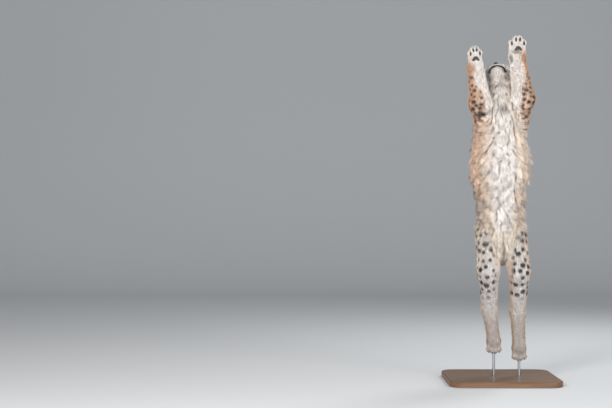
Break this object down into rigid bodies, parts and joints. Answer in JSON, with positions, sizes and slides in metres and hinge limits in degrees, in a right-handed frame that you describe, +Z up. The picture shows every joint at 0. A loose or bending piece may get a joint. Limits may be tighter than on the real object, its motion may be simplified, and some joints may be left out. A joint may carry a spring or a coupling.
{
  "type": "eurasian lynx display model",
  "caption": "Life-size still model of a Eurasian lynx leaping upright with its forepaws raised, held on a low wooden stand by short rods under the hind feet.",
  "frame": {"origin": "centre of the underside of the stand", "axes": "+X to the left side of the animal, +Y to its back, so the belly faces -Y, and +Z up to the raised paws"},
  "size_m": [0.6, 0.54, 1.8658],
  "materials": {
    "belly_fur": "long soft fur",
    "flank_fur": "short spotted fur",
    "head_fur": "short striped fur",
    "leg_fur": "short spotted fur",
    "foot_fur": "short flat fur",
    "paw_fur": "short flat fur",
    "tail_fur": "dense fur",
    "ear_fur": "short fur",
    "eye": "clear and glossy",
    "base_wood": "satin",
    "rod_steel": "brushed"
  },
  "bodies": {
    "root": {"ear_left": "ear_fur", "ear_right": "ear_fur", "eye_left": "eye", "eye_right": "eye", "forearm_left": "flank_fur", "forearm_right": "flank_fur", "forepaw_left": "paw_fur", "forepaw_right": "paw_fur", "head": "head_fur", "hindfoot_left": "foot_fur", "hindfoot_right": "foot_fur", "neck": "belly_fur", "shank_left": "leg_fur", "shank_right": "leg_fur", "stand_base": "base_wood", "stand_rod_left": "rod_steel", "stand_rod_right": "rod_steel", "tail": "tail_fur", "thigh_left": "leg_fur", "thigh_right": "leg_fur", "torso": "belly_fur", "upper_arm_left": "flank_fur", "upper_arm_right": "flank_fur"}
  },
  "joints": []
}
